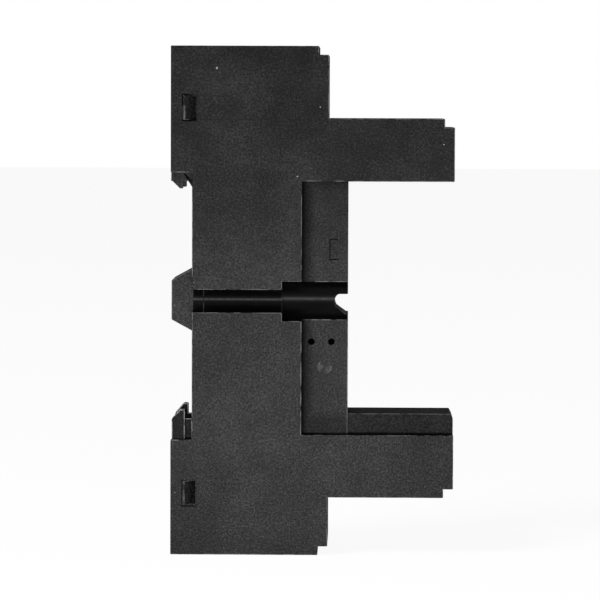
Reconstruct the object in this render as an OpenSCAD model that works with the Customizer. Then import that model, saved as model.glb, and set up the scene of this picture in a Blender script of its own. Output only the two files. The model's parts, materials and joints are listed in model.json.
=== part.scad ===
// Moulded relay socket for a 35 mm mounting rail, with eight rising-cage screw terminals.
// +X points out to the front, +Z up and +Y across. The origin lies on the plane where the
// rail sits, at mid-width, on the axis of the two side screw grooves. Sizes in millimetres.

/* [Housing] */
// Height of the step from the upper arm to the top end
top_deck_h = 10.6; // [9.6:0.05:14]
// Height of the step from the lower arm to the bottom end
bottom_deck_h = 8.55; // [7.7:0.05:12]
// Width over the side faces
body_w = 15.5; // [15.3:0.1:17.5]
// Depth of the two rear feet behind the rail seat
foot_d = 3.15; // [3:0.05:3.6]
// Rail seat to the front of the outer decks
deck_x = 20.05; // [19.9:0.05:21.5]
// Rail seat to the front of the arms
arm_x = 38.55; // [36:0.05:42]
// Rail seat to the face that the relay sits on
block_x = 22.95; // [22:0.05:24]
// Axis to the inner face of the upper arm
bay_top = 17.65; // [17.3:0.05:19]
// Axis to the inner face of the lower arm
bay_bottom = 19.7; // [19:0.05:20.4]
// Thickness of each arm
arm_t = 9.25; // [9:0.05:9.9]
// Depth of the rebate along the front corner of each deck
corner_x = 1.45; // [0.8:0.05:2]
// Height of that rebate
corner_z = 1.28; // [0.8:0.02:1.6]

/* [Walls] */
// Side wall beside a terminal
side_wall = 1; // [0.9:0.05:1.2]
// Wall between the two columns of terminals
mid_wall = 0.9; // [0.8:0.05:1.2]
// Top and bottom end walls
end_wall = 1.2; // [1:0.05:1.5]
// Wall of an arm or between two terminals
arm_wall = 0.95; // [0.8:0.05:1.1]
// Skin over the receptacles, at the relay face
skin = 1.4; // [1:0.1:1.8]
// Side skirt round the base cover
skirt = 1.3; // [1.2:0.05:1.5]

/* [Relay bay] */
// Set-back of each side face beside the relay face
recess_d = 2.3; // [1.8:0.05:2.4]
// Rail seat to the start of that recess
recess_x = 16.15; // [15.2:0.05:18]
// Width of the rib on the lower arm
rib_w = 9.9; // [7:0.1:12]
// Height of the rib
rib_h = 3; // [2:0.1:3.4]
// Chamfer at the rib's front end, along X
rib_cut_x = 0.36; // [0.1:0.02:1]
// Chamfer at the rib's front end, along Z
rib_cut_z = 0.67; // [0.1:0.01:1.5]
// Axis down to the coil pins
coil_drop = 11; // [10.5:0.1:11.5]
// Coil pins to the first contact pins
coil_to_contact = 15; // [14.8:0.1:15.5]
// Pitch of the contact pins
pin_pitch = 5; // [4.8:0.05:5.1]
// Distance between the two rows of pins
row_pitch = 7.5; // [7.3:0.05:7.6]
// Height of a pin slot
slot_h = 1.7; // [1.2:0.1:1.8]
// Width of a pin slot
slot_w = 0.95; // [0.7:0.05:1.2]
// Chamfer round the mouth of a pin slot
slot_lead = 0.35; // [0.1:0.05:0.5]

/* [Side screw grooves] */
// Radius of the groove for the screw's shank
shank_r = 1.93; // [1.6:0.01:2]
// Radius of the groove for the screw's head
head_groove_r = 3.05; // [2.7:0.05:3.1]
// Groove axis to the side face
groove_in = 1; // [0.8:0.05:1.1]
// Plastic between the contact run and the seat of the screw's head
groove_floor = 0.5; // [0.4:0.05:1]
// Axis up to the upper edge of the release slot across the relay face
pry_rise = 1.2; // [0.9:0.05:1.5]
// Axis down to the lower edge of the release slot, at the relay face
pry_drop = 1.78; // [1.4:0.02:2.4]
// Depth of the release slot
pry_d = 1.95; // [1.2:0.05:2.4]
// Radius of its round inner end
pry_r = 0.75; // [0.5:0.05:0.9]

/* [Rail hook and latch] */
// Height of the rail over its edges
rail_h = 35; // [34.6:0.1:35.4]
// Play of the rail between hook and latch
rail_play = 0.2; // [0:0.05:0.4]
// Mouth of the fixed hook
hook_gap = 1.45; // [1.2:0.05:1.6]
// Reach of the fixed hook over the rail
hook_lip = 1.1; // [0.8:0.05:1.4]
// Mouth of the latch
latch_gap = 1.1; // [1:0.05:1.3]
// Reach of the latch over the rail
latch_lip = 1.45; // [1.1:0.05:1.7]
// Width of a hook lip and of a latch prong
lip_w = 2.2; // [1.6:0.1:3]
// Travel of the latch from locked to released
latch_travel = 2.5; // [1.8:0.1:2.7]
// Height of the bump between the rail's edges, at its foot
bump_h = 9.3; // [7:0.1:12]
// Height of its flat rear face
bump_flat = 5.84; // [4:0.02:6.6]
// Width of the bump
bump_w = 9.6; // [8:0.1:9.6]

/* [Base cover] */
// Thickness of the cover plate
cover_t = 1.6; // [1.4:0.05:1.8]
// Height of a snap window in the skirt
window_h = 4; // [3:0.1:4.6]
// Width of a snap window, along X
window_x = 2.3; // [1.8:0.05:2.4]
// End of the housing to the middle of a snap window
window_end = 9.1; // [8:0.1:10.5]
// Rear edge of the foot to a snap window
window_in = 1.63; // [1.3:0.01:1.9]

/* [Terminals] */
// Sink of a screw head below its deck
head_sink = 1; // [0.6:0.05:1.3]
// Height of a screw head
head_h = 1.9; // [1.7:0.05:2.1]
// Radius of a screw head
head_r = 2.4; // [2.2:0.05:2.5]
// Radius of the screw's thread
thread_r = 1.5; // [1.4:0.05:1.6]
// Travel of a clamp cage
cage_travel = 2.5; // [2:0.05:2.6]
// Length of a cage along the wire
cage_l = 5; // [4.6:0.05:5.2]
// Sheet thickness of a cage
cage_t = 0.7; // [0.6:0.05:0.8]
// Thickness of a cage's tapped wall
tapped_t = 1.3; // [1.1:0.05:1.5]
// Radius of a wire entry
entry_r = 2.2; // [1.8:0.05:2.3]
// Chamfer at the mouth of a wire entry
entry_lead = 0.65; // [0.3:0.05:0.7]
// Width of the clamp bar inside a cage
bar_w = 3.4; // [2.8:0.1:3.8]

/* [Contacts] */
// Thickness of the contact strip
strip_t = 0.7; // [0.5:0.05:0.8]
// Width of the strip where it runs behind the relay
run_w = 2.4; // [1.8:0.1:2.5]
// Thickness of a receptacle leaf
leaf_t = 0.4; // [0.3:0.05:0.5]
// Free gap of a receptacle at its pinch
pinch = 0.5; // [0.3:0.05:0.7]

/* [Latch spring] */
// Free length in the locked latch
spring_l = 7.2; // [6.4:0.1:7.6]
// Outer diameter
spring_d = 2.4; // [2:0.1:2.6]
// Wire diameter
spring_wire = 0.4; // [0.3:0.05:0.5]
// Turns
spring_turns = 7; // [5:1:9]

/* [Hidden] */
$fn = 48;

// Sides and decks
NEAR = -1;
FAR = 1;
TOP_DECK = 0;
TOP_ARM = 1;
BOTTOM_ARM = 2;
BOTTOM_DECK = 3;

// Fits and small clearances
cut = 0.5;                  // how far a cutter runs past the face that it opens
fit_gap = 0.05;             // between pieces that are fitted together
slide_gap = 0.1;            // beside what slides
turn_gap = 0.05;            // screw thread to the tapped wall, on the radius
head_gap = 0.3;             // tightened cage to the screw head
hole_gap = 0.2;             // screw head to its hole, on the radius
tip_gap = 0.05;             // screw tip to the clamp bar
bar_gap = 0.3;              // open cage to the front of the clamp bar
cage_gap = 0.2;             // cage to its pocket
cage_foot_gap = 0.55;       // cage to the strip that runs below it
wire_rest = 0.2;            // what is left of the wire gap when the cage is tightened

// Heights and half widths of the housing
half_w = body_w / 2;
top_arm_out = bay_top + arm_t;
bottom_arm_out = bay_bottom + arm_t;
top_end = top_arm_out + top_deck_h;
bottom_end = bottom_arm_out + bottom_deck_h;
top_in = top_end - end_wall;
bottom_in = bottom_end - end_wall;
top_arm_in = bay_top + arm_wall;
bottom_arm_in = bay_bottom + arm_wall;
skirt_in = half_w - skirt;
cover_w = 2 * (skirt_in - fit_gap);
cover_top = top_in - fit_gap;
cover_bottom = bottom_in - fit_gap;
recess_y = half_w - recess_d;
window_z = [top_end - window_end, window_end - bottom_end];

// Terminal stack, measured back from the front of a deck
pocket_front = head_sink + head_h + head_gap / 2;
cage_front = head_sink + head_h + head_gap + cage_travel;
bar_front = cage_front + tapped_t + bar_gap;
bar_back = bar_front + strip_t;
wire_gap = cage_travel + wire_rest;
cage_back = bar_back + wire_gap + cage_t;
entry_in = bar_back + wire_gap / 2;
head_hole_r = head_r + hole_gap;
bar_short = 0.4;            // clamp bar's end inside the end of its cage

// Columns and terminal places
lane_in = mid_wall / 2;
lane_out = half_w - side_wall;
lane_y = (lane_in + lane_out) / 2;
cage_w = lane_out - lane_in - 2 * cage_gap;
cage_rise = arm_wall + slide_gap + strip_t + cage_foot_gap;
term_x = [deck_x, arm_x, arm_x, deck_x];
term_up = [1, 1, -1, -1];
term_z = [
    (top_arm_out + arm_wall + top_in) / 2,
    bay_top + cage_rise + cage_l / 2,
    -bay_bottom - cage_rise - cage_l / 2,
    -(bottom_arm_out + arm_wall + bottom_in) / 2
];
// outer face that the wire enters, for each terminal
entry_face = [top_end, top_arm_out, -bottom_arm_out, -bottom_end];

// Contact planes: the deck strips run behind the arm strips
layer_gap = 1.4;            // insulating distance between the two planes
pad_w = 2;                  // pad that carries a receptacle
pad_h = 1.8;
chamber_gap = 0.15;         // pad to the side of its chamber
run_inset = 0.75;           // outer edge of a run inside the outer edge of its pad
bend_r = 0.4;               // inner radius of a bent strip
bend_relief = 0.3;          // chamfer of the housing under a bend
deck_strip_x = deck_x - bar_back;
deck_strip_front = deck_strip_x + strip_t + fit_gap;
arm_strip_x = deck_strip_x + strip_t + layer_gap;
arm_strip_front = arm_strip_x + strip_t + fit_gap;
groove_seat_x = deck_strip_x + strip_t + groove_floor;
groove_y = half_w - groove_in;
row_y = row_pitch / 2;
run_out = row_y + pad_w / 2 - run_inset;
run_y = run_out - run_w;
chamber_in = row_y - pad_w / 2 - chamber_gap;
chamber_out = row_y + pad_w / 2 + chamber_gap;
chamber_h = pad_h + 2 * slide_gap;
contact_z = coil_to_contact - coil_drop;
// pin of each terminal: common, then normally open above, coil, then normally closed below
pin_z = [contact_z + pin_pitch, contact_z + 2 * pin_pitch, -coil_drop, contact_z];

// Rail hook, latch and spring
foot_step_top = 1.3;        // rail edge to the shoulder of the upper foot
foot_step_bottom = 2.9;     // rail edge to the shoulder of the lower foot
fork_d = 1.8;               // rail edge to the crossbar between the prongs
crossbar_h = 1.8;
stem_w = 9.8;
stem_rear_w = 8.2;          // raised middle of the stem, between the guide lips
guide_lip_t = 0.65;
tail_w = 4.8;
tail_in = 0.2;              // released tail inside the end face
spring_side = 0.3;          // spring to the side of its window
stop_h = 1.4;               // stop on the cover that the spring stands on
window_drop = 1.2;          // crossbar to the top of the spring window
mouth_z = (rail_h + rail_play) / 2;
shoulder_top = mouth_z + foot_step_top;
shoulder_bottom = mouth_z + foot_step_bottom;
latch_back = foot_d - slide_gap;
latch_w = cover_w - 2 * slide_gap;
prong_top = mouth_z - latch_lip;
cross_top = mouth_z + fork_d;
cross_bottom = cross_top + crossbar_h;
guide_top = cross_bottom + latch_travel + slide_gap;
ledge_t = latch_gap - slide_gap;
stem_bottom = bottom_in - latch_travel - slide_gap;
tail_z = bottom_end - latch_travel - tail_in;
window_top = cross_bottom + window_drop;
spring_hole_w = spring_d + 2 * spring_side;
stop_z = window_top + spring_l;
spring_x = -foot_d / 2;

// Extrudes a shape drawn in X and Z from y0 to y1
module along_y(y0, y1) {
    translate([0, y1, 0]) rotate([90, 0, 0]) linear_extrude(y1 - y0) children();
}

// Extrudes a shape drawn in Y and Z from x0 to x1
module along_x(x0, x1) {
    translate([x0, 0, 0]) rotate([90, 0, 90]) linear_extrude(x1 - x0) children();
}

// A block between two corners
module block(low, high) {
    translate(low) cube(high - low);
}

// Both sides of the middle plane
module both_sides() {
    children();
    mirror([0, 1, 0]) children();
}

// Places something drawn at a deck's front, on the screw's axis, reaching up to the end wall
module at_terminal(deck, side) {
    translate([term_x[deck], side * lane_y, term_z[deck]])
        mirror([0, 0, term_up[deck] < 0 ? 1 : 0])
            children();
}

// Side view of the housing, with the stepped decks, the arms and the rear feet
module side_outline() {
    polygon([
        [-foot_d, top_end], [deck_x - corner_x, top_end], [deck_x - corner_x, top_end - corner_z],
        [deck_x, top_end - corner_z], [deck_x, top_arm_out],
        [arm_x - corner_x, top_arm_out], [arm_x - corner_x, top_arm_out - corner_z],
        [arm_x, top_arm_out - corner_z], [arm_x, bay_top],
        [block_x, bay_top], [block_x, -bay_bottom], [arm_x, -bay_bottom],
        [arm_x, corner_z - bottom_arm_out], [arm_x - corner_x, corner_z - bottom_arm_out],
        [arm_x - corner_x, -bottom_arm_out], [deck_x, -bottom_arm_out],
        [deck_x, corner_z - bottom_end], [deck_x - corner_x, corner_z - bottom_end],
        [deck_x - corner_x, -bottom_end], [-foot_d, -bottom_end],
        [-foot_d, -shoulder_bottom], [0, -shoulder_bottom],
        [0, shoulder_top], [-foot_d, shoulder_top]
    ]);
}

// Rib along the lower arm, set in from both sides
module arm_rib() {
    along_y(-rib_w / 2, rib_w / 2)
        polygon([
            [block_x - cut, -bay_bottom - cut], [arm_x, -bay_bottom - cut],
            [arm_x, rib_h - bay_bottom - rib_cut_z],
            [arm_x - rib_cut_x, rib_h - bay_bottom], [block_x - cut, rib_h - bay_bottom]
        ]);
}

// Groove for one side screw: shank, then the wider head
module screw_groove(back) {
    translate([back, groove_y, 0]) rotate([0, 90, 0])
        cylinder(r = shank_r, h = groove_seat_x - back + cut);
    translate([groove_seat_x, groove_y, 0]) rotate([0, 90, 0])
        cylinder(r = head_groove_r, h = block_x - groove_seat_x + cut);
}

// Slot across the relay face that a screwdriver levers in: round inner end, one sloped flank
module pry_slot() {
    centre = [block_x - pry_d + pry_r, pry_rise - pry_r];
    edge = [block_x, -pry_drop];
    reach = norm(edge - centre);
    turn = atan2(centre[1] - edge[1], centre[0] - edge[0]) + asin(pry_r / reach);
    flank = sqrt(reach * reach - pry_r * pry_r);
    touch = edge + flank * [cos(turn), sin(turn)];
    along_y(-half_w, half_w) {
        translate(centre) circle(r = pry_r);
        polygon([
            centre, touch, edge, edge + [cut, 0], [block_x + cut, pry_rise], [centre[0], pry_rise]
        ]);
    }
}

// Moulding marks on the recessed side face: two pin holes, a ring and a shallow pocket
module side_marks() {
    hole_r = 0.5;
    hole_d = 0.7;
    hole_drop = 6.07;
    holes_in = [5.38, 2.42];    // relay face to each pin hole
    ring_r = 1.05;
    ring_wide = 0.13;
    ring_d = 0.08;
    ring_in = 3.41;
    ring_drop = 9.83;
    pocket_back = 2.75;
    pocket_front_in = 1.45;
    pocket_rise = 6;
    pocket_h = 3.15;
    pocket_d = 0.25;
    for (inset = holes_in)
        translate([block_x - inset, recess_y - hole_d, -hole_drop]) rotate([-90, 0, 0])
            cylinder(r = hole_r, h = hole_d + cut);
    translate([block_x - ring_in, recess_y - ring_d, -ring_drop]) rotate([-90, 0, 0]) difference() {
        cylinder(r = ring_r, h = ring_d + cut);
        translate([0, 0, -cut]) cylinder(r = ring_r - ring_wide, h = ring_d + 3 * cut);
    }
    block(
        [block_x - pocket_back, recess_y - pocket_d, pocket_rise],
        [block_x - pocket_front_in, recess_y + cut, pocket_rise + pocket_h]
    );
}

// Screw hole and funnelled wire entry of one terminal
module terminal_openings(deck) {
    rise = abs(entry_face[deck] - term_z[deck]);
    rotate([0, -90, 0]) translate([0, 0, -cut]) cylinder(r = head_hole_r, h = pocket_front + 2 * cut);
    translate([-entry_in, 0, 0]) cylinder(r = entry_r, h = rise + cut);
    translate([-entry_in, 0, rise - entry_lead])
        cylinder(r1 = entry_r, r2 = entry_r + entry_lead + cut, h = entry_lead + cut);
}

// Slot for one relay pin, chamfered all round at the relay face
module pin_slot() {
    half_y = slot_w / 2;
    half_z = slot_h / 2;
    wide = slot_lead + cut;
    block([block_x - skin - cut, -half_y, -half_z], [block_x + cut, half_y, half_z]);
    intersection() {
        along_y(-half_y - wide, half_y + wide)
            polygon([
                [block_x - slot_lead, -half_z], [block_x + cut, -half_z - wide],
                [block_x + cut, half_z + wide], [block_x - slot_lead, half_z]
            ]);
        translate([0, 0, -half_z - wide]) linear_extrude(2 * (half_z + wide))
            polygon([
                [block_x - slot_lead, -half_y], [block_x + cut, -half_y - wide],
                [block_x + cut, half_y + wide], [block_x - slot_lead, half_y]
            ]);
    }
}

// Hollow of one deck and its arm, from the cover plate forward, for the upper end at +Y
module deck_space(arm_in, arm_out, end_in) {
    back = cover_t - cut;
    // rear chamber, then the pockets of the arm's cage and of the deck's cage
    block([back, lane_in, arm_in], [deck_strip_front, lane_out, end_in]);
    block([back, lane_in, arm_in], [arm_x - pocket_front, lane_out, arm_out - arm_wall]);
    block([back, lane_in, arm_out + arm_wall], [deck_x - pocket_front, lane_out, end_in]);
    // room for the bend of the arm's strip
    along_y(chamber_in, chamber_out)
        polygon([
            [arm_strip_front - fit_gap, arm_in - bend_relief], [arm_strip_front, arm_in - bend_relief],
            [arm_strip_front + bend_relief, arm_in], [arm_strip_front + bend_relief, arm_in + fit_gap],
            [arm_strip_front - fit_gap, arm_in + fit_gap]
        ]);
}

// Channel from the cover plate forward, between two heights, for the side at +Y
module channel(front, y0, y1, z0, z1) {
    block([cover_t - cut, y0, z0], [front, y1, z1]);
}

// All hollows of one column, for the side at +Y
module column_space() {
    half_h = chamber_h / 2;
    run_edge = run_y - slide_gap;
    deck_space(top_arm_in, top_arm_out, top_in);
    mirror([0, 0, 1]) deck_space(bottom_arm_in, bottom_arm_out, bottom_in);
    // runs of the deck strips: the common contact goes up, the closed contact goes down
    channel(deck_strip_front, run_edge, chamber_out, pin_z[TOP_DECK] - half_h, top_arm_in + cut);
    channel(deck_strip_front, run_edge, run_out + slide_gap, -bottom_arm_in - cut, pin_z[BOTTOM_DECK]);
    channel(
        deck_strip_front, run_edge, chamber_out,
        pin_z[BOTTOM_DECK] - half_h, pin_z[BOTTOM_DECK] + half_h
    );
    // risers of the arm strips
    channel(arm_strip_front, chamber_in, chamber_out, pin_z[TOP_ARM] - half_h, top_arm_in + cut);
    channel(arm_strip_front, chamber_in, chamber_out, -bottom_arm_in - cut, pin_z[BOTTOM_ARM] + half_h);
    // receptacle chambers and the slots in front of them
    for (z = pin_z) {
        block([deck_strip_x, chamber_in, z - half_h], [block_x - skin, chamber_out, z + half_h]);
        translate([0, row_y, z]) pin_slot();
    }
}

// Seat of the base cover, with the snap windows and the notch at the latch's tail
module cover_space() {
    block([-foot_d - cut, -skirt_in, -bottom_in], [cover_t, skirt_in, top_in]);
    for (z = window_z)
        block(
            [window_in - foot_d, -half_w - cut, z - window_h / 2],
            [window_in - foot_d + window_x, half_w + cut, z + window_h / 2]
        );
    block(
        [-foot_d - cut, -tail_w / 2 - 2 * slide_gap, -bottom_end - cut],
        [-latch_gap + 2 * slide_gap, tail_w / 2 + 2 * slide_gap, -bottom_in + cut]
    );
}

module housing() {
    color([0.2, 0.2, 0.21]) difference() {
        union() {
            along_y(-half_w, half_w) side_outline();
            arm_rib();
        }
        cover_space();
        pry_slot();
        both_sides() {
            block(
                [recess_x, recess_y, -bay_bottom],
                [block_x + cut, half_w + cut, bay_top]
            );
            screw_groove(-cut);
            side_marks();
            column_space();
            for (deck = [TOP_DECK : BOTTOM_DECK]) at_terminal(deck, FAR) terminal_openings(deck);
        }
    }
}

// Lip of the fixed hook: sloped behind, so that it tips over the rail's edge
module hook_lip_outline() {
    root = 0.2;                 // square part of the lip above the rail's edge
    tip = mouth_z - hook_lip;
    polygon([
        [-foot_d, mouth_z + cut], [-foot_d, mouth_z + root],
        [-foot_d + hook_lip + root, tip], [-hook_gap, tip], [-hook_gap, mouth_z + cut]
    ]);
}

// Guide rail of the latch, a channel open to the middle, for the side at +Y
module latch_guide() {
    outer = cover_w / 2;
    block([-foot_d, stem_w / 2 + slide_gap, -cover_bottom], [cut, outer, -guide_top]);
    lip = stem_rear_w / 2 + slide_gap;
    block([-foot_d, lip, -cover_bottom], [-foot_d + guide_lip_t, outer, -guide_top]);
    block([-ledge_t, lip, -cover_bottom], [cut, outer, -guide_top]);
}

// Snap lug: steep behind, ramped to the front, for the side at +Y
module snap_lug(z) {
    end_play = 0.2;             // lug to the end of its window
    sink = 0.35;                // crest of the lug below the side face
    crest = 0.3;
    x0 = window_in - foot_d + slide_gap;
    x1 = window_in - foot_d + window_x - 3 * slide_gap;
    lug_h = window_h - 2 * end_play;
    translate([0, 0, z - lug_h / 2]) linear_extrude(lug_h)
        polygon([
            [x0, cover_w / 2 - cut], [x0, half_w - sink], [x0 + crest, half_w - sink],
            [x1, cover_w / 2], [x1, cover_w / 2 - cut]
        ]);
}

module base_cover() {
    core_wall = 1.3;
    core_floor = 0.9;
    color([0.23, 0.23, 0.24]) difference() {
        union() {
            block([0, -cover_w / 2, -cover_bottom], [cover_t, cover_w / 2, cover_top]);
            block([-foot_d, -cover_w / 2, mouth_z], [cut, cover_w / 2, cover_top]);
            along_y(-bump_w / 2, bump_w / 2)
                polygon([
                    [cut, bump_h / 2], [0, bump_h / 2], [-foot_d, bump_flat / 2],
                    [-foot_d, -bump_flat / 2], [0, -bump_h / 2], [cut, -bump_h / 2]
                ]);
            block(
                [spring_x - spring_d / 2 - fit_gap, -spring_hole_w / 2 + slide_gap, -stop_z - stop_h],
                [cut, spring_hole_w / 2 - slide_gap, -stop_z]
            );
            both_sides() {
                along_y(cover_w / 2 - lip_w, cover_w / 2) hook_lip_outline();
                latch_guide();
                for (z = window_z) snap_lug(z);
            }
        }
        both_sides() {
            screw_groove(-foot_d - cut);
            // cored out from behind, so that the foot keeps an even wall
            block(
                [-foot_d - cut, core_wall / 2, mouth_z + 2 * core_wall],
                [-core_floor, cover_w / 2 - core_wall, cover_top - core_wall]
            );
        }
    }
}

// Latch prong: sloped behind and blunt on top
module prong_outline() {
    blunt = 0.7;
    polygon([
        [-latch_back, -cross_top], [-latch_back, -mouth_z],
        [-latch_gap - blunt, -prong_top], [-latch_gap, -prong_top], [-latch_gap, -cross_top]
    ]);
}

module rail_latch() {
    slot_w = 3.2;
    tail_slot_h = 1.2;
    bridge = 0.8;
    color([0.21, 0.21, 0.22]) difference() {
        union() {
            both_sides() {
                along_y(latch_w / 2 - lip_w, latch_w / 2) prong_outline();
                block(
                    [-latch_gap - fit_gap, latch_w / 2 - lip_w, -cross_bottom],
                    [-slide_gap, latch_w / 2, -mouth_z]
                );
            }
            block([-latch_back, -latch_w / 2, -cross_bottom], [-latch_gap, latch_w / 2, -cross_top]);
            block(
                [-latch_back, -stem_rear_w / 2, -stem_bottom],
                [-latch_gap, stem_rear_w / 2, -cross_bottom]
            );
            block(
                [-foot_d + guide_lip_t + slide_gap, -stem_w / 2, -stem_bottom],
                [-latch_gap, stem_w / 2, -cross_bottom]
            );
            block([-latch_back, -tail_w / 2, -tail_z], [-latch_gap, tail_w / 2, -stem_bottom]);
        }
        block(
            [-foot_d - cut, -spring_hole_w / 2, -stop_z - stop_h - fit_gap],
            [cut, spring_hole_w / 2, -window_top]
        );
        block(
            [-foot_d - cut, -slot_w / 2, -tail_z + bridge],
            [cut, slot_w / 2, -tail_z + bridge + tail_slot_h]
        );
    }
}

// Points of a ring of the spring's wire, square to the coil's axis plane
function wire_ring(a, z, r, n) = [
    for (i = [0 : n - 1])
        let (b = 360 * i / n, rr = r + spring_wire / 2 * cos(b))
        [rr * cos(a), rr * sin(a), z + spring_wire / 2 * sin(b)]
];

// Compression spring, its end turns closed flat
module latch_spring() {
    per_turn = 16;
    sides = 8;
    steps = spring_turns * per_turn;
    lift = spring_l - spring_wire - 2 * fit_gap;
    coil_r = (spring_d - spring_wire) / 2;
    closed = spring_wire + 0.01;
    open_pitch = (lift - 2 * closed) / (spring_turns - 2);
    // height after t turns: one closed turn at each end, even pitch between
    function height(t) =
        t < 1 ? closed * t :
        t > spring_turns - 1 ? lift - closed * (spring_turns - t) :
        closed + open_pitch * (t - 1);
    points = [
        for (k = [0 : steps])
            each wire_ring(360 * k / per_turn, height(k / per_turn), coil_r, sides)
    ];
    walls = [
        for (k = [0 : steps - 1], i = [0 : sides - 1])
            let (a = k * sides + i, b = k * sides + (i + 1) % sides)
            each [[a, b, b + sides], [a, b + sides, a + sides]]
    ];
    first = [for (i = [sides - 1 : -1 : 0]) i];
    last = [for (i = [0 : sides - 1]) steps * sides + i];
    color([0.75, 0.76, 0.78])
        translate([spring_x, 0, -stop_z + spring_wire / 2 + fit_gap])
            polyhedron(points = points, faces = concat([first], walls, [last]));
}

// Twin-leaf receptacle for one relay pin: leaves that close to a pinch and flare at the mouth
module receptacle(pad_x) {
    tip = block_x - skin - 2 * slide_gap;
    mouth_l = 2;
    neck = tip - mouth_l;
    base = pad_w / 2;
    root_l = 0.4;
    neck_t = leaf_t + 0.08;
    flare = base - leaf_t - slide_gap;
    translate([0, 0, -pad_h / 2]) linear_extrude(pad_h)
        for (s = [0, 1]) mirror([0, s])
            polygon([
                [pad_x, base - leaf_t], [neck, pinch / 2], [tip, flare], [tip, flare + leaf_t],
                [neck, pinch / 2 + neck_t], [pad_x + strip_t + root_l, base], [pad_x, base]
            ]);
}

// Contact of an outer deck: clamp bar and run in one plane, and a receptacle at its pad
module deck_contact(deck, side) {
    up = term_up[deck];
    pin = pin_z[deck] * up;
    bar_end = term_z[deck] * up + cage_l / 2 - bar_short;
    bar_start = term_z[deck] * up - cage_l / 2 - cage_foot_gap;
    color([0.8, 0.72, 0.5])
        mirror([0, side < 0 ? 1 : 0, 0]) mirror([0, 0, up < 0 ? 1 : 0]) {
            along_x(deck_strip_x, deck_strip_x + strip_t) {
                translate([run_y, pin - pad_h / 2])
                    square([run_w, bar_start + pad_h - pin]);
                translate([lane_y - bar_w / 2, bar_start])
                    square([bar_w, bar_end - bar_start]);
                translate([row_y - pad_w / 2, pin - pad_h / 2])
                    square([pad_w, pad_h]);
            }
            translate([0, row_y, pin]) receptacle(deck_strip_x);
        }
}

// Contact of an arm: riser, foot along the arm's inner wall, and clamp bar, bent from one strip
module arm_contact(deck, side) {
    up = term_up[deck];
    pin = pin_z[deck] * up;
    foot = (up > 0 ? top_arm_in : bottom_arm_in) + slide_gap;
    bar_end = term_z[deck] * up + cage_l / 2 - bar_short;
    bar_x = arm_x - bar_back;
    outer_r = bend_r + strip_t;
    color([0.8, 0.72, 0.5])
        mirror([0, side < 0 ? 1 : 0, 0]) mirror([0, 0, up < 0 ? 1 : 0]) {
            along_y(row_y - pad_w / 2, row_y + pad_w / 2) {
                translate([arm_strip_x, pin - pad_h / 2])
                    square([strip_t, foot + strip_t - outer_r - pin + pad_h / 2]);
                translate([arm_strip_x + outer_r, foot + strip_t - outer_r])
                    bend(outer_r, 90);
                translate([arm_strip_x + outer_r, foot])
                    square([bar_x + strip_t - arm_strip_x - 2 * outer_r, strip_t]);
                translate([bar_x + strip_t - outer_r, foot + outer_r])
                    bend(outer_r, 270);
            }
            along_x(bar_x, bar_x + strip_t)
                translate([lane_y - bar_w / 2, foot + outer_r])
                    square([bar_w, bar_end - foot - outer_r]);
            translate([0, row_y, pin]) receptacle(arm_strip_x);
        }
}

// Quarter ring of bent strip, about the origin, from an angle on
module bend(outer_r, from) {
    rotate(from) intersection() {
        difference() {
            circle(r = outer_r);
            circle(r = outer_r - strip_t);
        }
        square(outer_r + cut);
    }
}

// Clamp cage: sheet folded to a square ring, with a thick tapped wall towards the screw head
module clamp_cage(deck, side) {
    corner = 0.6;
    depth = cage_back - cage_front;
    color([0.72, 0.73, 0.75]) at_terminal(deck, side) difference() {
        translate([-cage_back, 0, -cage_l / 2]) linear_extrude(cage_l) difference() {
            rounded_slab(depth, cage_w, corner);
            translate([cage_t, 0]) rounded_slab(depth - cage_t - tapped_t, cage_w - 2 * cage_t, corner / 3);
        }
        translate([-cage_front + cut, 0, 0]) rotate([0, -90, 0])
            cylinder(r = thread_r + turn_gap, h = tapped_t + 2 * cut);
    }
}

// Rectangle from x = 0, centred on y, with round corners
module rounded_slab(x, y, r) {
    translate([0, r - y / 2]) square([x, y - 2 * r]);
    translate([r, -y / 2]) square([x - 2 * r, y]);
    for (cx = [r, x - r], cy = [r - y / 2, y / 2 - r]) translate([cx, cy]) circle(r = r);
}

// Terminal screw: crowned head with a cross and a slot, and a plain thread cylinder
module terminal_screw(deck, side) {
    crown = 0.35;
    slot_wide = 0.7;
    slot_deep = 0.95;
    cross_l = 2.9;
    tip_z = bar_front - tip_gap;
    spin = 37 * deck + 23 * side;   // each screw stops at its own angle
    color([0.78, 0.79, 0.8]) at_terminal(deck, side) rotate([spin, 0, 0]) rotate([0, -90, 0])
        difference() {
            rotate_extrude()
                polygon([
                    [0, head_sink], [head_r - crown, head_sink], [head_r, head_sink + crown],
                    [head_r, head_sink + head_h], [thread_r, head_sink + head_h],
                    [thread_r, tip_z - crown], [thread_r - crown, tip_z], [0, tip_z]
                ]);
            translate([0, 0, head_sink + slot_deep / 2 - cut / 2]) {
                cube([2 * head_r + cut, slot_wide, slot_deep + cut], center = true);
                cube([slot_wide, cross_l, slot_deep + cut], center = true);
            }
        }
}

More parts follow.
